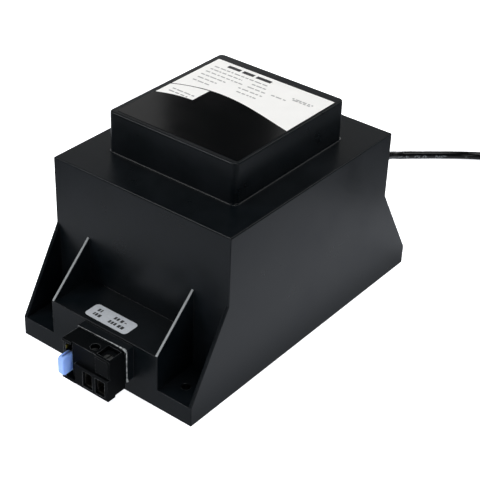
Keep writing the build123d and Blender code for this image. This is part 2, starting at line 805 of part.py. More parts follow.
def build():
    """All pieces by name, each at its place."""
    nodes = {"housing": make_housing()}
    nodes["core_e_stack"], nodes["core_i_stack"] = make_core()
    nodes["core_bolts"], nodes["core_nuts"], nodes["core_washers"] = make_core_bolts()
    primary, secondary = chamber_ends()
    nodes["coil_bobbin"] = make_bobbin()
    nodes["primary_winding"], nodes["primary_wrap"] = make_winding(primary)
    nodes["secondary_winding"], nodes["secondary_wrap"] = make_winding(secondary)
    nodes["thermal_cutout"] = make_cutout(primary)
    nodes.update(make_leads(primary, secondary))
    nodes["terminal_block"] = make_terminal_block()
    for side, x in zip(("right", "left"), terminal_xs):
        nodes["clamp_cage_" + side] = make_cage(x)
        nodes["clamp_screw_" + side] = make_clamp_screw(x)
    nodes["fuse_body"], nodes["fuse_element"] = make_fuse()
    nodes["fuse_clip_upper"] = make_fuse_clip(1)
    nodes["fuse_clip_lower"] = make_fuse_clip(-1)
    nodes["cord_gland"] = make_gland()
    nodes["cord_clamp"] = make_cord_clamp()
    nodes["mains_cord"], route = make_cord()
    cast_in = [name for name in nodes if name != "housing"]
    nodes["potting_resin"] = make_resin([nodes[name] for name in cast_in])
    nodes["rating_label"] = make_rating_label()
    nodes["output_label"] = make_output_label()
    nodes["cord_coil"], nodes["coil_tie"], tail_start = make_coil(route)
    nodes["cord_tail"], tail_end = make_tail(tail_start)
    nodes["plug_body"], nodes["plug_pins"] = make_plug(tail_end)
    return nodes


os.makedirs("parts", exist_ok=True)
for name, shape in build().items():
    placed = Pos(0, centre_shift, 0) * shape
    export_step(placed, "parts/" + name + ".step")
    print(name, len(placed.solids()), round(placed.volume, 1))
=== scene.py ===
import math
import bpy
import numpy as np
from mathutils import Matrix, Vector


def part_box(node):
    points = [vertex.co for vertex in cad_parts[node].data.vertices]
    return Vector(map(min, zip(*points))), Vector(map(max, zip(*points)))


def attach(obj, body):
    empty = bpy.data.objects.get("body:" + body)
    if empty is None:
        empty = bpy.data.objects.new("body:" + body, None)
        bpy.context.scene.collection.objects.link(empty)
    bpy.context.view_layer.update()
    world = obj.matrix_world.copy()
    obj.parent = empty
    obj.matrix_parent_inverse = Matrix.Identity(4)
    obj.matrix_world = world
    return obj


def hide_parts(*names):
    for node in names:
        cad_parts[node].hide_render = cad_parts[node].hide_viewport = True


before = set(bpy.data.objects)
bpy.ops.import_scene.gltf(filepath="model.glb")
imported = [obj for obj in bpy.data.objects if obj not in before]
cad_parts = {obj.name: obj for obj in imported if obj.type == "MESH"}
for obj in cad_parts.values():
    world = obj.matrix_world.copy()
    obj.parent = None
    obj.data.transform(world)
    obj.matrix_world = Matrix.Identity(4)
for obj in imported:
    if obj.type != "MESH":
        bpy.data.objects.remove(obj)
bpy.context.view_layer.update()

# Camera: it looks down on the terminal end from the right, a little rolled, as a product shot does.
# Its place and lens follow from the corners of the housing in the photograph.
camera_place = Vector((0.3685, -0.45914, 0.42878))
camera_forward = Vector((-0.5062, 0.6659, -0.5480)).normalized()
camera_up = Vector((-0.3620, 0.4127, 0.8358))
camera_lens_mm = 99.0
camera_data = bpy.data.cameras.new("camera")
camera_data.sensor_width = 36.0
camera_data.lens = camera_lens_mm
camera_data.clip_start = 0.01
camera_data.clip_end = 20.0
camera = bpy.data.objects.new("camera", camera_data)
bpy.context.scene.collection.objects.link(camera)
camera_right = camera_forward.cross(camera_up).normalized()
camera_up = camera_right.cross(camera_forward)
axes = Matrix((camera_right, camera_up, -camera_forward)).transposed()
camera.matrix_world = Matrix.Translation(camera_place) @ axes.to_4x4()
bpy.context.scene.camera = camera


# Studio: a white table lit from below, soft boxes above it, and dim screens behind. The black plastic
# shows mostly what it mirrors: its walls mirror a reflector sheet at its foot, its tops the
# screens, and its sloping edges the boxes.
def linear(colour):
    """Turns an sRGB hex colour into the linear RGBA that the shaders take."""
    parts = [int(colour[i:i + 2], 16) / 255 for i in (1, 3, 5)]
    return (*[p / 12.92 if p <= 0.04045 else ((p + 0.055) / 1.055) ** 2.4 for p in parts], 1.0)


def add(tree, kind, inputs={}, **settings):
    """Adds a shader node. Each input takes a value or another node's socket."""
    made = tree.nodes.new("ShaderNode" + kind)
    for name, value in settings.items():
        setattr(made, name, value)
    for name, value in inputs.items():
        if isinstance(value, bpy.types.NodeSocket):
            tree.links.new(value, made.inputs[name])
        else:
            made.inputs[name].default_value = value
    return made


def new_material(name):
    """Empty node material with its output."""
    material = bpy.data.materials.new(name)
    material.use_nodes = True
    tree = material.node_tree
    tree.nodes.clear()
    return material, tree, tree.nodes.new("ShaderNodeOutputMaterial")


def mesh_piece(name, points, faces, material, smooth=False):
    """Mesh object with its points in metres in the row frame."""
    mesh = bpy.data.meshes.new(name)
    mesh.from_pydata([tuple(p) for p in points], [], [tuple(f) for f in faces])
    mesh.polygons.foreach_set("use_smooth", [smooth] * len(mesh.polygons))
    mesh.materials.append(material)
    piece = bpy.data.objects.new(name, mesh)
    bpy.context.scene.collection.objects.link(piece)
    return piece


# The table is opal acrylic, lit from below: flat white right up to the object.
table_half = 4.0
table_height = -0.0002
table_glow = 0.95
table_white, tree, output = new_material("white_acrylic_table")
shader = add(tree, "BsdfPrincipled", {"Base Color": linear("#f4f5f6"), "Roughness": 0.85,
                                      "Specular IOR Level": 0.1, "Emission Color": linear("#fbfcff"),
                                      "Emission Strength": table_glow})
tree.links.new(shader.outputs[0], output.inputs["Surface"])
square = ((-1, -1), (1, -1), (1, 1), (-1, 1))
corners = [(x * table_half, y * table_half, table_height) for x, y in square]
floor = mesh_piece("floor", corners, [(0, 1, 2, 3)], table_white)
floor.visible_glossy = False

# The sheet shows only in gloss. It is bright close by, dims further out and is shaded at the foot, and
# it is brighter again far behind on the left, for the walls there.
sheet_half = 0.9
sheet_height = -0.0001
object_half = (0.0575, 0.106, 0)
foot_reach = 0.025
fade_start, fade_end = 0.06, 0.16
behind_start, behind_end = 0.12, 0.3
sheet_glow, tree, output = new_material("reflector_sheet")
place = add(tree, "TexCoord").outputs["Object"]
across = add(tree, "VectorMath", {0: place}, operation="ABSOLUTE").outputs[0]
past = add(tree, "VectorMath", {0: across, 1: object_half}, operation="SUBTRACT").outputs[0]
outside = add(tree, "VectorMath", {0: past, 1: (0, 0, 0)}, operation="MAXIMUM").outputs[0]
away = add(tree, "VectorMath", {0: outside}, operation="LENGTH").outputs["Value"]
foot = add(tree, "MapRange", {"Value": away, "From Max": foot_reach, "To Min": 0.45},
           interpolation_type="SMOOTHSTEP").outputs[0]
fall = add(tree, "MapRange", {"Value": away, "From Min": fade_start, "From Max": fade_end, "To Min": 1.1,
                              "To Max": 0.25}, interpolation_type="SMOOTHSTEP").outputs[0]
near_glow = add(tree, "Math", {0: foot, 1: fall}, operation="MULTIPLY").outputs[0]
behind = add(tree, "VectorMath", {0: place, 1: (-1, 1, 0)}, operation="DOT_PRODUCT").outputs["Value"]
far_glow = add(tree, "MapRange", {"Value": behind, "From Min": behind_start,
                                  "From Max": behind_end}).outputs[0]
glow = add(tree, "Math", {0: near_glow, 1: far_glow}, operation="ADD").outputs[0]
shader = add(tree, "Emission", {"Color": linear("#f3f7ff"), "Strength": glow})
tree.links.new(shader.outputs[0], output.inputs["Surface"])
corners = [(x * sheet_half, y * sheet_half, sheet_height) for x, y in square]
sheet = mesh_piece("reflector_sheet", corners, [(0, 1, 2, 3)], sheet_glow)
sheet.visible_camera = sheet.visible_diffuse = sheet.visible_shadow = False

# The room is a pale backdrop that neither lights nor mirrors.
world = bpy.data.worlds.new("room")
world.use_nodes = True
world.node_tree.nodes["Background"].inputs["Color"].default_value = linear("#e9ebed")
world.node_tree.nodes["Background"].inputs["Strength"].default_value = 1.0
world.cycles_visibility.diffuse = world.cycles_visibility.glossy = False
bpy.context.scene.world = world
bpy.context.scene.view_settings.view_transform = "Standard"


def soft_light(name, place, aim, size, power):
    """Rectangular area light of a width and a height, turned towards the point that it is aimed at."""
    data = bpy.data.lights.new(name, "AREA")
    data.shape = "RECTANGLE"
    data.size, data.size_y = size
    data.energy = power
    light = bpy.data.objects.new(name, data)
    bpy.context.scene.collection.objects.link(light)
    light.location = place
    light.rotation_mode = "QUATERNION"
    light.rotation_quaternion = (Vector(aim) - Vector(place)).to_track_quat("-Z", "Y")


for name, place, size, power in (
    ("front_left_box", (-1.21, -1.22, 1.67), 0.8, 24.0),
    ("back_right_box", (0.8, 1.6, 1.55), 0.9, 8.5),
    ("top_box", (0.1, 0.2, 2.1), 0.8, 23.0),
    ("right_box", (1.9, -0.7, 1.0), 0.9, 6.0),
):
    soft_light(name, place, (0, 0, 0), (size, size), power)

panel_distance = 1.6
panel_height = 0.15
panel_size = (1.2, 0.5)
panel_power = 6.0
for name, x, y in (
    ("front_panel", 0, -1),
    ("right_panel", 1, 0),
    ("back_panel", 0, 1),
    ("left_panel", -1, 0),
):
    place = (x * panel_distance, y * panel_distance, panel_height)
    soft_light(name, place, (0, 0, panel_height), panel_size, panel_power)

# A screen stands on the table behind, on the left. Its middle's bearing, half its width and its top are
# in degrees, as seen from the object.
screen_distance = 1.4
for name, middle, half, top, brightness in (
    ("back_screen", 24.4, 9.9, 40.0, 0.45),
    ("low_screen", 39.6, 3.6, 26.8, 1.7),
    ("left_screen", 54.2, 12.0, 40.0, 0.5),
):
    turn = math.radians(middle)
    width = 2 * screen_distance * math.tan(math.radians(half))
    height = screen_distance * math.tan(math.radians(top))
    place = (-screen_distance * math.sin(turn), screen_distance * math.cos(turn), height / 2)
    soft_light(name, place, (0, 0, height / 2), (width, height), brightness * math.pi * width * height)


# Housing: one injection moulding in black ABS, open underneath, with the coil cast into it.
# The mould's fine spark-eroded grain makes it satin, and its edges are painted a little brighter, partly as
# rubbed wear and partly as painted highlight.
def black_moulding(name, base, sheen, wear_and_highlight_colour, grain_mm, edge_mm, wear_and_highlight_amount, satin, gloss, pale=None):
    """Black moulded plastic: cloudy satin finish, fine grain, and lighter edges where a bevelled normal
    turns, partly rubbed wear and partly painted highlight.

    The edge mask is one minus the dot product of the bevelled and the flat normal, stretched. It is left
    out in inner corners, where the surface is shaded by itself, but not at the foot of the stepped top,
    where it paints a highlight along the foot line.
    The pale strip, a painted highlight, is where |x|, z and the normal's z are near given values, each as
    (middle, half width).
    """
    cloud_mm = 26.0
    patch_mm = 9.0
    corner_reach = 0.0012
    step_foot, foot_half = 0.0965, 0.0015
    material, tree, output = new_material(name)
    place = add(tree, "TexCoord").outputs["Object"]
    cloud = add(tree, "TexNoise", {"Vector": place, "Scale": 1000 / cloud_mm, "Detail": 5.0,
                                   "Roughness": 0.62}).outputs[0]
    blotch = add(tree, "MapRange", {"Value": cloud, "From Min": 0.35, "From Max": 0.68}).outputs[0]
    grain = add(tree, "TexNoise", {"Vector": place, "Scale": 1000 / grain_mm, "Detail": 2.0})
    flat = add(tree, "NewGeometry").outputs["Normal"]
    # Lighter edges: partly rubbed wear, partly painted highlight.
    round_edge = add(tree, "Bevel", {"Radius": edge_mm / 1000}, samples=6).outputs[0]
    turn = add(tree, "VectorMath", {0: flat, 1: round_edge}, operation="DOT_PRODUCT").outputs["Value"]
    edge = add(tree, "MapRange", {"Value": turn, "From Min": 0.985, "From Max": 0.75}).outputs[0]
    patchy = add(tree, "TexNoise", {"Vector": place, "Scale": 1000 / patch_mm, "Detail": 3.0}).outputs[0]
    patch = add(tree, "MapRange", {"Value": patchy, "From Min": 0.35, "From Max": 0.7}).outputs[0]
    spot = add(tree, "SeparateXYZ", {"Vector": place}).outputs
    bare = add(tree, "AmbientOcclusion", {"Distance": corner_reach}, samples=6, only_local=True).outputs["AO"]
    outer = add(tree, "MapRange", {"Value": bare, "From Min": 0.75, "From Max": 0.95}).outputs[0]
    # The foot line of the stepped top keeps the edge mask, as a painted highlight.
    foot = add(tree, "Math", {0: spot["Z"], 1: step_foot, 2: foot_half}, operation="COMPARE").outputs[0]
    kept = add(tree, "Math", {0: outer, 1: foot}, operation="MAXIMUM").outputs[0]
    wear_and_highlight_mask = add(tree, "Math", {0: edge, 1: kept}, operation="MULTIPLY").outputs[0]
    patchy_wear_and_highlight = add(tree, "Math", {0: wear_and_highlight_mask, 1: patch}, operation="MULTIPLY").outputs[0]
    amount = add(tree, "Math", {0: patchy_wear_and_highlight, 1: wear_and_highlight_amount}, operation="MULTIPLY").outputs[0]
    # Painted highlight: a pale strip on slopes that face a given way.
    if pale:
        tilt = add(tree, "SeparateXYZ", {"Vector": flat}).outputs["Z"]
        side = add(tree, "Math", {0: spot["X"]}, operation="ABSOLUTE").outputs[0]
        strip = add(tree, "MapRange", {"Value": patchy, "From Min": 0.2, "From Max": 0.5,
                                       "To Min": 0.8}).outputs[0]
        for value, (middle, half) in zip((side, spot["Z"], tilt), pale):
            near = add(tree, "Math", {0: value, 1: middle, 2: half}, operation="COMPARE").outputs[0]
            strip = add(tree, "Math", {0: strip, 1: near}, operation="MULTIPLY").outputs[0]
        amount = add(tree, "Math", {0: amount, 1: strip}, operation="MAXIMUM").outputs[0]
    shade = add(tree, "Mix", {"Factor": blotch, "A": linear(base), "B": linear(sheen)}, data_type="RGBA")
    colour = add(tree, "Mix", {"Factor": amount, "A": shade.outputs["Result"], "B": linear(wear_and_highlight_colour)},
                 data_type="RGBA")
    rough = add(tree, "MapRange", {"Value": cloud, "From Min": 0.3, "From Max": 0.7,
                                   "To Min": satin - 0.06, "To Max": satin + 0.06})
    bump = add(tree, "Bump", {"Height": grain.outputs[0], "Strength": 0.18, "Distance": 0.00012,
                              "Normal": round_edge})
    shader = add(tree, "BsdfPrincipled", {
        "Base Color": colour.outputs["Result"], "Roughness": rough.outputs[0],
        "Normal": bump.outputs[0], "Specular IOR Level": gloss})
    tree.links.new(shader.outputs[0], output.inputs["Surface"])
    return material


def dress(node, material):
    """Gives a carried-over CAD node its finish."""
    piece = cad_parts[node]
    piece.data.materials.clear()
    piece.data.materials.append(material)


# The slopes of the inner gussets carry a painted highlight: a pale strip where they face the front left box.
# They are told by |x|, z and the normal's z, each as (middle, half width).
gusset_slope_highlight = ((0.03495, 0.00095), (0.0446, 0.0130), (0.727, 0.15))
dress("housing", black_moulding("moulded_black_abs", "#03070a", "#0d1115", "#7d8183", grain_mm=0.9,
                                edge_mm=0.45, wear_and_highlight_amount=0.6, satin=0.32, gloss=0.16, pale=gusset_slope_highlight))

# Cord: round two-core mains cord in a PVC sheath, which goes out of the gland and down to the ground,
# then to the coil that it is put away in. Its route is the same line of points as the solid's, in metres.
gland_tip = Vector((0.0, 0.14025, 0.017))
cord_diameter = 0.0052
route = [
    (0.0, 0.0, 0.0170), (0.0, 0.0190, 0.0170), (-0.00318, 0.03489, 0.0174), (-0.00221, 0.04432, 0.01555),
    (-0.00108, 0.05094, 0.01261), (0.00259, 0.0597, 0.0107), (0.00599, 0.06688, 0.00881),
    (0.00845, 0.07307, 0.00721), (0.0123, 0.08137, 0.00509), (0.01614, 0.08726, 0.00405),
    (0.02322, 0.0967, 0.00261), (0.03182, 0.1029, 0.0026), (0.0430, 0.11076, 0.0026),
    (0.0515, 0.1162, 0.0026),
]
coil_stub = 0.0205
coil_mean_radius = 0.030
coil_pitch = 0.00522
turn_points = 24
whole_turns = 7
# The turns lie in cells of the coil's section, as (ring, level). Each turn shifts to the next cell from
# its own start, over a span, both in degrees.
cells = [(1, 0), (0, 0), (-1, 0), (-1, 1), (-1, 2), (0, 2), (1, 2), (1, 1)]
shift_starts = [302, 302, 243, 243, 184, 184, 125]
shift_span = 55
tail = [(0.0, -0.0090, 0.0), (0.0006, -0.0190, -0.0008), (0.0006, -0.0280, -0.0008)]

points = [Vector((x, gland_tip.y + y, z)) for x, y, z in route]
heading = (points[-1] - points[-2]).normalized()
entry = points[-1] + heading * coil_stub
outer_radius = coil_mean_radius + coil_pitch
centre = entry + Vector((heading.y, -heading.x, 0)) * outer_radius
entry_angle = math.degrees(math.atan2(entry.y - centre.y, entry.x - centre.x))
travel = np.arange(0, 360 * whole_turns + entry_angle, 360 / turn_points)
ring = np.full(len(travel), float(cells[0][0]))
level = np.full(len(travel), float(cells[0][1]))
for turn, start in enumerate(shift_starts):
    share = np.clip((travel - 360 * turn - start) / shift_span, 0, 1)
    ease = share * share * (3 - 2 * share)
    ring += ease * (cells[turn + 1][0] - cells[turn][0])
    level += ease * (cells[turn + 1][1] - cells[turn][1])
angle = np.radians(entry_angle - travel)
radius = coil_mean_radius + coil_pitch * ring
for a, r, up in zip(angle, radius, level):
    points.append(Vector((centre.x + r * math.cos(a), centre.y + r * math.sin(a),
                          cord_diameter / 2 + coil_pitch * up)))
leave = Vector((centre.x + outer_radius, centre.y, cord_diameter / 2 + coil_pitch))
tail_start = leave - Vector((0, coil_stub, 0))
points += [leave, tail_start] + [tail_start + Vector(step) for step in tail]

curve = bpy.data.curves.new("mains_cord_sheath", "CURVE")
curve.dimensions = "3D"
curve.bevel_depth = cord_diameter / 2
curve.bevel_resolution = 5
curve.resolution_u = 6
curve.use_fill_caps = True
spline = curve.splines.new("NURBS")
spline.points.add(len(points) - 1)
for target, point in zip(spline.points, points):
    target.co = (*point, 1.0)
spline.order_u = 4
spline.use_endpoint_u = True
cord = bpy.data.objects.new("mains_cord_sheath", curve)
bpy.context.scene.collection.objects.link(cord)

# Soft PVC, extruded through a smooth die: glossy, with faint clouds of draw marks.
draw_mm = 6.0
sheath, tree, output = new_material("extruded_black_pvc")
place = add(tree, "TexCoord").outputs["Object"]
draw_marks = add(tree, "TexNoise", {"Vector": place, "Scale": 1000 / draw_mm, "Detail": 3.0})
rough = add(tree, "MapRange", {"Value": draw_marks.outputs[0], "To Min": 0.14, "To Max": 0.24})
bump = add(tree, "Bump", {"Height": draw_marks.outputs[0], "Strength": 0.1, "Distance": 0.0002})
# Its printed line of small figures is left as a broken pale line along the side that faces front right.
print_side = (0.86, -0.48, 0.04)
figure_mm = 1.1
gap_mm = 9.0
outward = add(tree, "NewGeometry").outputs["Normal"]
facing = add(tree, "VectorMath", {0: outward, 1: print_side}, operation="DOT_PRODUCT").outputs["Value"]
line = add(tree, "MapRange", {"Value": facing, "From Min": 0.93, "From Max": 0.965}).outputs[0]
figure = add(tree, "TexNoise", {"Vector": place, "Scale": 1000 / figure_mm, "Detail": 1.0}).outputs[0]
gap = add(tree, "TexNoise", {"Vector": place, "Scale": 1000 / gap_mm, "Detail": 0.0}).outputs[0]
for part, low in ((figure, 0.44), (gap, 0.42)):
    there = add(tree, "MapRange", {"Value": part, "From Min": low, "From Max": low + 0.05}).outputs[0]
    line = add(tree, "Math", {0: line, 1: there}, operation="MULTIPLY").outputs[0]
colour = add(tree, "Mix", {"Factor": line, "A": linear("#08090b"), "B": linear("#5e6265")},
             data_type="RGBA")
shader = add(tree, "BsdfPrincipled", {"Base Color": colour.outputs["Result"], "Roughness": rough.outputs[0],
                                      "Normal": bump.outputs[0], "Specular IOR Level": 0.2})
tree.links.new(shader.outputs[0], output.inputs["Surface"])
curve.materials.append(sheath)
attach(cord, "root")
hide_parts("mains_cord", "cord_coil", "cord_tail")

# Rating label: black gloss polyester film with a printed white field, stuck on the stepped top.
# The film is the solid's own plate, and its clouds of grey are a painted reflection.
film_low, film_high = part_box("rating_label")
film_top = film_high.z
print_rise = 0.00003
reflection_place = (0.030, 0.006, -0.119)
reflection_scale = (22, 30, 22)
ripple_mm = 18.0

film, tree, output = new_material("black_gloss_film")
place = add(tree, "TexCoord").outputs["Object"]
# Painted reflection: a spherical gradient from near black to dark grey.
painted_reflection_mapping = add(tree, "Mapping", {"Vector": place, "Location": reflection_place, "Scale": reflection_scale})
glow = add(tree, "TexGradient", {"Vector": painted_reflection_mapping.outputs[0]}, gradient_type="SPHERICAL")
colour = add(tree, "Mix", {"Factor": glow.outputs["Fac"], "A": linear("#070809"), "B": linear("#0e1012")},
             data_type="RGBA")
ripple = add(tree, "TexNoise", {"Vector": place, "Scale": 1000 / ripple_mm, "Detail": 3.0})
rough = add(tree, "MapRange", {"Value": ripple.outputs[0], "To Min": 0.08, "To Max": 0.15})
bump = add(tree, "Bump", {"Height": ripple.outputs[0], "Strength": 0.08, "Distance": 0.0004})
shader = add(tree, "BsdfPrincipled", {"Base Color": colour.outputs["Result"], "Roughness": rough.outputs[0],
                                      "Normal": bump.outputs[0], "Specular IOR Level": 0.31})
tree.links.new(shader.outputs[0], output.inputs["Surface"])
dress("rating_label", film)


def printed_field(name, across, lower, upper, material, columns=48, rows=6):
    """Thin closed plate of ink: a grid of columns along X and rows from the lower to the upper edge.

    Point (u, v) is at x = (1 - u) left + u right, y = (1 - v) lower(u) + v upper(u), a hair above the
    film, with left and right the two values of across.
    """
    u, v = np.meshgrid(np.linspace(0, 1, columns), np.linspace(0, 1, rows))
    x = across[0] + (across[1] - across[0]) * u
    y = (1 - v) * lower(u) + v * upper(u)
    top = np.stack([x, y, np.full_like(x, film_top + print_rise)], -1).reshape(-1, 3)
    bottom = top - (0, 0, print_rise)
    cell = (np.arange(columns - 1)[None, :] + columns * np.arange(rows - 1)[:, None]).ravel()
    quads = np.stack([cell, cell + 1, cell + columns + 1, cell + columns], -1)
    count = columns * rows
    rim = np.concatenate([np.arange(columns), columns * np.arange(1, rows) + columns - 1,
                          count - 2 - np.arange(columns - 1), columns * np.arange(rows - 2, 0, -1)])
    after = np.roll(rim, -1)
    sides = np.stack([rim + count, after + count, after, rim], -1)
    faces = np.concatenate([quads, quads[:, ::-1] + count, sides])
    return mesh_piece(name, np.concatenate([top, bottom]), faces, material)


# Screen-printed white ink: matt beside the film, and a little uneven.
mottle_mm = 12.0
ink, tree, output = new_material("printed_white_ink")
place = add(tree, "TexCoord").outputs["Object"]
mottle = add(tree, "TexNoise", {"Vector": place, "Scale": 1000 / mottle_mm, "Detail": 4.0})
colour = add(tree, "Mix", {"Factor": mottle.outputs[0], "A": linear("#ededeb"), "B": linear("#f7f6f4")},
             data_type="RGBA")
shader = add(tree, "BsdfPrincipled", {"Base Color": colour.outputs["Result"], "Roughness": 0.42})
tree.links.new(shader.outputs[0], output.inputs["Surface"])

field_left = film_low.x + 0.0004
field_right = film_high.x - 0.0003
field_back = film_high.y - 0.0006
arc_points = [(-0.0372, 0.01015), (-0.0285, 0.01505), (-0.0166, 0.01695), (-0.0003, 0.01725),
              (0.0182, 0.01415), (0.0390, 0.00855)]
arc_fit = np.polyfit(*np.array(arc_points).T, 3)


def arc_edge(x0, x1, offset=0.0):
    """Lower edge of the print: a cubic in x through the arc's listed points, moved by the offset."""
    return lambda u: np.polyval(arc_fit, x0 + (x1 - x0) * u) + offset


def small_edge(u):
    """Lower edge of the small field: a line with a slight crown, y = a + (b - a) u + c sin(pi u)."""
    first, last, crown = -0.0022, 0.0030, 0.0012
    return first + (last - first) * u + crown * np.sin(np.pi * u)


large = printed_field("print_large_field", (field_left, field_right), arc_edge(field_left, field_right),
                      lambda u: np.full_like(u, field_back), ink)
small_right = -0.0166
dark_line = 0.0008
small = printed_field("print_small_field", (field_left, small_right), small_edge,
                      arc_edge(field_left, small_right, -dark_line), ink, rows=4)
for piece in (large, small):
    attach(piece, "root")


def bar_plates(name, bars, height, rise, material):
    """Printed bars as one mesh of thin closed boxes: each bar is (x, y, length, width), lying along X."""
    bars = np.array(bars)
    signs = np.array([(x, y, z) for z in (0, 1) for x, y in square])
    half = np.stack([bars[:, 2] / 2, bars[:, 3] / 2, np.full(len(bars), rise)], -1)
    middle = np.stack([bars[:, 0], bars[:, 1], np.full(len(bars), height)], -1)
    points = (middle[:, None] + signs[None] * half[:, None]).reshape(-1, 3)
    sides = np.array([(0, 3, 2, 1), (4, 5, 6, 7), (0, 1, 5, 4), (1, 2, 6, 5), (2, 3, 7, 6), (3, 0, 4, 7)])
    faces = (8 * np.arange(len(bars))[:, None, None] + sides[None]).reshape(-1, 4)
    return mesh_piece(name, points, faces, material)


# Fine print in black on white looks grey from here, so its ink is grey.
grey_ink, tree, output = new_material("printed_grey_ink")
shader = add(tree, "BsdfPrincipled", {"Base Color": linear("#a3a3a3"), "Roughness": 0.45})
tree.links.new(shader.outputs[0], output.inputs["Surface"])
# Rows of words are left as bars: (y, first x, last x), in millimetres.
word_rows = [(41.0, -33, 3), (37.4, -33, -12), (37.4, -5, 5), (33.6, -33, -9), (33.6, -5, 6),
             (29.6, -33, -17), (29.6, -8, 7), (25.6, -32, -19), (25.6, -6, 6), (21.6, -32, -21),
             (34.2, 10, 20), (38.6, 20.5, 33), (37.2, 21.5, 32), (6.6, -33, -19), (3.6, -33, -21)]
word_width = 0.0010
words = np.random.default_rng(7)
bars = []
for y, x, last in word_rows:
    while x < last:
        length = min(words.uniform(1.2, 4.2), last - x + 0.4)
        bars.append(((x + length / 2) / 1000, y / 1000, length / 1000, word_width))
        x += length + words.uniform(0.5, 1.1)
small_print = bar_plates("print_rows", bars, film_top + print_rise, print_rise, grey_ink)
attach(small_print, "root")

# The heading is three bold bars in the same black ink, near full strength: (x, length), in millimetres.
heading = ((-23.2, 8.4), (-13.6, 7.4), (-3.4, 9.6))
heading_y = 0.0456
heading_width = 0.0026
dark_ink, tree, output = new_material("printed_dark_ink")
shader = add(tree, "BsdfPrincipled", {"Base Color": linear("#1c1e21"), "Roughness": 0.5})
tree.links.new(shader.outputs[0], output.inputs["Surface"])
bars = [(x / 1000, heading_y, length / 1000, heading_width) for x, length in heading]
heading_bars = bar_plates("print_heading", bars, film_top + print_rise, print_rise, dark_ink)
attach(heading_bars, "root")

# Output label: small silver polyester film with round corners, stuck on the bay over the terminals.
# Its metal flakes make it a soft grey with a fine speckle.
speck_mm = 1.2
silver, tree, output = new_material("silver_grey_film")
place = add(tree, "TexCoord").outputs["Object"]
speck = add(tree, "TexNoise", {"Vector": place, "Scale": 1000 / speck_mm, "Detail": 3.0})
colour = add(tree, "Mix", {"Factor": speck.outputs[0], "A": linear("#bac0c6"), "B": linear("#d0d4da")},
             data_type="RGBA")
shader = add(tree, "BsdfPrincipled", {"Base Color": colour.outputs["Result"], "Roughness": 0.38,
                                      "Metallic": 0.25})
tree.links.new(shader.outputs[0], output.inputs["Surface"])
dress("output_label", silver)
label_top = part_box("output_label")[1].z
# Two rows of figures are left as bars: (y, first x, last x), in millimetres. A short dash ends the first.
figures = [(-73.9, -12.3, -11.0), (-73.9, -10.4, -9.6), (-73.7, -1.4, -0.1), (-73.7, 0.4, 1.7),
           (-73.7, 2.8, 4.4), (-77.6, -12.2, -11.4), (-77.6, -10.9, -9.6), (-77.6, -9.1, -7.4),
           (-77.6, -1.9, -0.6), (-77.6, -0.1, 1.2), (-77.6, 1.7, 3.0), (-77.6, 4.2, 5.8), (-77.6, 6.3, 8.0)]
figure_width = 0.0022
dash = (0.0059, -0.0737, 0.0014, 0.0006)
bars = [((first + last) / 2000, y / 1000, (last - first) / 1000, figure_width) for y, first, last in figures]
output_print = bar_plates("output_print", bars + [dash], label_top, print_rise, dark_ink)
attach(output_print, "root")

# Terminal block: one moulding in black polyamide, pushed into the housing's collar.
# Its finish is slightly coarser and deader than the housing's.
# Its edges are painted lighter as well, partly rubbed wear and partly painted highlight.
dress("terminal_block", black_moulding("moulded_black_polyamide", "#030506", "#07090b", "#8a8d90",
                                       grain_mm=0.6, edge_mm=0.45, wear_and_highlight_amount=0.9, satin=0.5, gloss=0.04))

# Where the block is pushed into its collar, a thin bead runs along the collar's rim, painted pale grey as a
# highlight on the rim. It is thin at the left, runs thick at the corner, and ends in a drop low on the right
# side.
# The path is (x, z) in the plane of the collar's front, and a radius goes with each point.
collar_front = -0.08915
rim_bead_path = np.array([(-0.0120, 0.0305), (0.0, 0.03085), (0.0120, 0.0311), (0.0175, 0.0312),
                        (0.0199, 0.0309), (0.0207, 0.0299), (0.0207, 0.0220), (0.0207, 0.0135),
                        (0.0211, 0.0119)])
rim_bead_thick = np.array([0.00010, 0.00018, 0.00026, 0.00056, 0.00074, 0.00040, 0.00024, 0.00026, 0.00080])


def rim_highlight_bead(name, path, thick, front, material, steps=140, sides=12):
    """Closed tube in a plane of constant y, with an uneven radius.

    Point (s, t) = p(s) + r(s) (cos t (-Y) + sin t (Y x d)), with p and r drawn through the given points
    and d the direction of p. Small random lumps change r along the way, and it narrows at both ends.
    """
    lump = 0.16
    end_share = 0.4
    travel = np.concatenate([[0], np.cumsum(np.hypot(*np.diff(path, axis=0).T))])
    s = np.linspace(0, travel[-1], steps)
    x, z = (np.interp(s, travel, path[:, i]) for i in (0, 1))
    lumps = np.random.default_rng(5).normal(0, lump, steps)
    r = np.interp(s, travel, thick) * (1 + np.convolve(lumps, np.ones(3) / 2, "same"))
    r[[0, -1]] *= end_share
    way = np.stack([np.gradient(x), np.gradient(z)], -1)
    way /= np.linalg.norm(way, axis=1, keepdims=True)
    t = np.linspace(0, 2 * np.pi, sides, endpoint=False)
    points = np.stack([x[:, None] + way[:, 1:] * r[:, None] * np.sin(t), front - r[:, None] * np.cos(t),
                       z[:, None] - way[:, :1] * r[:, None] * np.sin(t)], -1).reshape(-1, 3)
    ring = np.arange(sides)
    start = sides * np.arange(steps - 1)[:, None]
    quads = np.stack([start + ring, start + np.roll(ring, -1), start + sides + np.roll(ring, -1),
                      start + sides + ring], -1).reshape(-1, 4)
    faces = quads.tolist() + [ring[::-1].tolist(), (ring + sides * (steps - 1)).tolist()]
    return mesh_piece(name, points, faces, material, smooth=True)


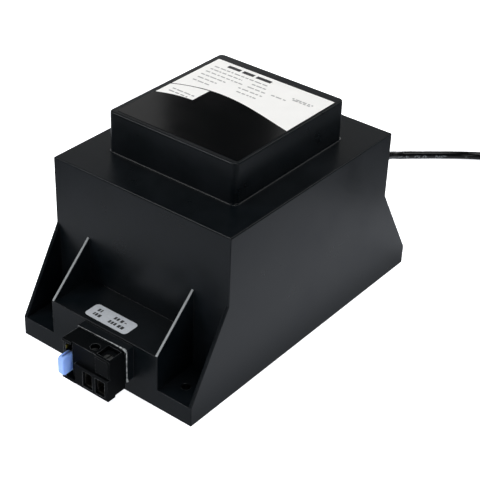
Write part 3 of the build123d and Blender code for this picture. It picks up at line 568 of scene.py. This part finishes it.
bead_mottle_mm = 1.4
rim_highlight_paint, tree, output = new_material("pale_bead_painted_highlight")
place = add(tree, "TexCoord").outputs["Object"]
bead_mottle = add(tree, "TexNoise", {"Vector": place, "Scale": 1000 / bead_mottle_mm, "Detail": 3.0}).outputs[0]
clear = add(tree, "MapRange", {"Value": bead_mottle, "From Min": 0.35, "From Max": 0.65}).outputs[0]
# Painted highlight: the bead's colour is mid to pale grey in a fine noise.
colour = add(tree, "Mix", {"Factor": clear, "A": linear("#45494a"), "B": linear("#a9adae")},
             data_type="RGBA")
shader = add(tree, "BsdfPrincipled", {"Base Color": colour.outputs["Result"], "Roughness": 0.3})
tree.links.new(shader.outputs[0], output.inputs["Surface"])
bead = rim_highlight_bead("rim_highlight_bead", rim_bead_path, rim_bead_thick, collar_front, rim_highlight_paint)
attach(bead, "root")


# Clamp screws and core fasteners: turned and rolled steel, zinc plated, a dull cloudy grey.
# Clamp cages: folded steel strip, nickel plated, a little warmer and brighter.
def plated_metal(name, base, wear_and_highlight_mask, rough, grain_mm):
    """Plated metal with a fine cloudy grain that changes its roughness a little."""
    material, tree, output = new_material(name)
    place = add(tree, "TexCoord").outputs["Object"]
    grain = add(tree, "TexNoise", {"Vector": place, "Scale": 1000 / grain_mm, "Detail": 4.0})
    colour = add(tree, "Mix", {"Factor": grain.outputs[0], "A": linear(base), "B": linear(wear_and_highlight_mask)},
                 data_type="RGBA")
    spread = add(tree, "MapRange", {"Value": grain.outputs[0], "To Min": rough - 0.08,
                                    "To Max": rough + 0.1})
    bump = add(tree, "Bump", {"Height": grain.outputs[0], "Strength": 0.15, "Distance": 0.0001})
    shader = add(tree, "BsdfPrincipled", {"Base Color": colour.outputs["Result"], "Metallic": 1.0,
                                          "Roughness": spread.outputs[0], "Normal": bump.outputs[0]})
    tree.links.new(shader.outputs[0], output.inputs["Surface"])
    return material


zinc = plated_metal("zinc_plated_steel", "#737574", "#4a4c4c", 0.35, 1.5)
for node in ("clamp_screw_right", "clamp_screw_left", "core_bolts", "core_nuts", "core_washers"):
    dress(node, zinc)
nickel = plated_metal("nickel_plated_strip", "#a5a39d", "#7b7973", 0.28, 1.0)
for node in ("clamp_cage_right", "clamp_cage_left"):
    dress(node, nickel)

# Blade fuse: translucent blue polycarbonate moulding with soft round edges, over a tinned zinc element.
# Light goes some way into it, so that it is milky. Its colour is painted palest at the thin front edge, a
# painted highlight.
fuse_low, fuse_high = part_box("fuse_body")


def rounded_slab(name, low, high, corner, edge, material, levels=9, arc=8):
    """Slab lying across X: a rectangle in Y and Z with round corners, drawn in towards both flat sides.

    At the distance u from the middle the outline is inset by i = e - sqrt(e^2 - max(0, |u| - h + e)^2),
    with e the edge radius and h the half thickness, and its corners keep the radius corner - i.
    """
    half = (high - low) / 2
    middle = (high + low) / 2
    u = half.x * np.sin(np.linspace(-np.pi / 2, np.pi / 2, levels))
    inset = edge - np.sqrt(np.maximum(edge ** 2 - np.maximum(0, np.abs(u) - half.x + edge) ** 2, 0))
    t = np.concatenate([q * np.pi / 2 + np.linspace(0, np.pi / 2, arc) for q in range(4)])
    quarter = np.repeat(np.arange(4), arc)
    sign_y = np.array([1, -1, -1, 1])[quarter]
    sign_z = np.array([1, 1, -1, -1])[quarter]
    round_off = corner - inset[:, None]
    y = middle.y + sign_y * (half.y - corner) + round_off * np.cos(t)
    z = middle.z + sign_z * (half.z - corner) + round_off * np.sin(t)
    x = np.broadcast_to(middle.x + u[:, None], y.shape)
    count = len(t)
    ring = np.arange(count)
    start = count * np.arange(levels - 1)[:, None]
    quads = np.stack([start + ring, start + np.roll(ring, -1), start + count + np.roll(ring, -1),
                      start + count + ring], -1).reshape(-1, 4)
    faces = quads.tolist() + [ring[::-1].tolist(), (ring + count * (levels - 1)).tolist()]
    return mesh_piece(name, np.stack([x, y, z], -1).reshape(-1, 3), faces, material, smooth=True)


pale_depth = 0.0075
flow_mm = 5.0
blue, tree, output = new_material("translucent_blue_polycarbonate")
place = add(tree, "TexCoord").outputs["Object"]
along = add(tree, "SeparateXYZ", {"Vector": place}).outputs["Y"]
# Painted highlight: the colour is palest at the front and deepens over pale_depth, in clouds.
depth = add(tree, "MapRange", {"Value": along, "From Min": fuse_low.y,
                               "From Max": fuse_low.y + pale_depth}).outputs[0]
flow = add(tree, "TexNoise", {"Vector": place, "Scale": 1000 / flow_mm, "Detail": 2.0})
mixed = add(tree, "Math", {0: depth, 1: flow.outputs[0]}, operation="MULTIPLY").outputs[0]
colour = add(tree, "Mix", {"Factor": mixed, "A": linear("#90b1ee"), "B": linear("#4c75cc")},
             data_type="RGBA")
shader = add(tree, "BsdfPrincipled", {"Base Color": colour.outputs["Result"], "Roughness": 0.28,
                                      "Subsurface Weight": 0.45, "Subsurface Scale": 1.0,
                                      "Subsurface Radius": (0.0012, 0.0016, 0.0030)})
tree.links.new(shader.outputs[0], output.inputs["Surface"])
fuse_corner = 0.0019
fuse_edge = 0.0007
fuse = rounded_slab("blade_fuse_body", fuse_low, fuse_high, fuse_corner, fuse_edge, blue)
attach(fuse, "root")
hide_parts("fuse_body")
# The element is stamped from tinned zinc, a soft light grey. The clips are stamped brass strip.
dress("fuse_element", plated_metal("tinned_zinc", "#b4b4b0", "#9a9a96", 0.35, 1.0))
brass = plated_metal("stamped_brass", "#b39350", "#8f7238", 0.35, 1.2)
for node in ("fuse_clip_upper", "fuse_clip_lower"):
    dress(node, brass)
# The upper clip's test tab shows beside the fuse, on the left wall of its cell. It has gone dull.
dull_brass = plated_metal("tarnished_brass", "#7c7330", "#55501f", 0.5, 0.8)
tab_low = Vector((-0.0106, -0.0996, 0.0231))
tab_high = Vector((-0.0099, -0.0975, 0.0252))
tab_corner = 0.0003
tab_edge = 0.0002
tab = rounded_slab("clip_test_tab", tab_low, tab_high, tab_corner, tab_edge, dull_brass)
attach(tab, "root")


# Gland, clamp, plug and tie: soft black mouldings on the cord's way. The rubber gland is matt, the nylon
# clamp and the PVC tie are duller than the cord, and the plug is moulded on, satin, with bright pins.
def plain_moulding(name, base, sheen, rough, grain_mm):
    """Moulded rubber or plastic: two near shades in soft clouds over a fine grain."""
    cloud_mm = 20.0
    material, tree, output = new_material(name)
    place = add(tree, "TexCoord").outputs["Object"]
    grain = add(tree, "TexNoise", {"Vector": place, "Scale": 1000 / grain_mm, "Detail": 3.0})
    cloud = add(tree, "TexNoise", {"Vector": place, "Scale": 1000 / cloud_mm, "Detail": 2.0})
    colour = add(tree, "Mix", {"Factor": cloud.outputs[0], "A": linear(base), "B": linear(sheen)},
                 data_type="RGBA")
    bump = add(tree, "Bump", {"Height": grain.outputs[0], "Strength": 0.2, "Distance": 0.0001})
    shader = add(tree, "BsdfPrincipled", {"Base Color": colour.outputs["Result"], "Roughness": rough,
                                          "Normal": bump.outputs[0]})
    tree.links.new(shader.outputs[0], output.inputs["Surface"])
    return material


dress("cord_gland", plain_moulding("moulded_black_rubber", "#0f1011", "#191a1b", 0.6, 0.8))
dress("cord_clamp", plain_moulding("moulded_black_nylon", "#101112", "#18191a", 0.5, 0.8))
dress("plug_body", plain_moulding("moulded_black_plug_pvc", "#0e0f10", "#17181a", 0.42, 0.8))
dress("plug_pins", plated_metal("nickel_plated_brass", "#cfccc2", "#b2afa4", 0.22, 2.0))
dress("coil_tie", plain_moulding("tie_black_pvc", "#141516", "#1f2022", 0.5, 0.8))

# Core, bobbin, windings and potting: a stack of silicon steel sheets, bolted round two coils of enamelled
# copper on a nylon bobbin, under yellow polyester tape. All of it is cast in black resin, so it shows
# only from below or when taken apart.
dress("potting_resin", plain_moulding("cast_black_resin", "#131415", "#1d1e20", 0.35, 2.0))
dress("coil_bobbin", plain_moulding("moulded_natural_nylon", "#d8d3c4", "#c9c3b2", 0.45, 1.0))
dress("thermal_cutout", plain_moulding("moulded_white_polyester", "#d9d7d0", "#cbc8c0", 0.4, 1.0))
silicon_steel = plated_metal("silicon_steel_sheets", "#6f7276", "#585b5f", 0.45, 0.8)
dress("core_e_stack", silicon_steel)
dress("core_i_stack", silicon_steel)
copper = plated_metal("enamelled_copper", "#b8693c", "#9a4f2a", 0.3, 0.9)
dress("primary_winding", copper)
dress("secondary_winding", copper)
tape = plain_moulding("polyester_tape", "#d8b23c", "#caa22f", 0.3, 3.0)
dress("primary_wrap", tape)
dress("secondary_wrap", tape)
# The mains leads are brown and blue, and the output leads are black.
for node, base, sheen in (
    ("primary_lead_live", "#5d3a20", "#6b4426"),
    ("primary_lead_neutral", "#2b4d9c", "#3459aa"),
    ("secondary_lead_common", "#141414", "#1f1f1f"),
    ("secondary_lead_fused", "#141414", "#1f1f1f"),
):
    dress(node, plain_moulding("extruded_" + node, base, sheen, 0.4, 1.5))
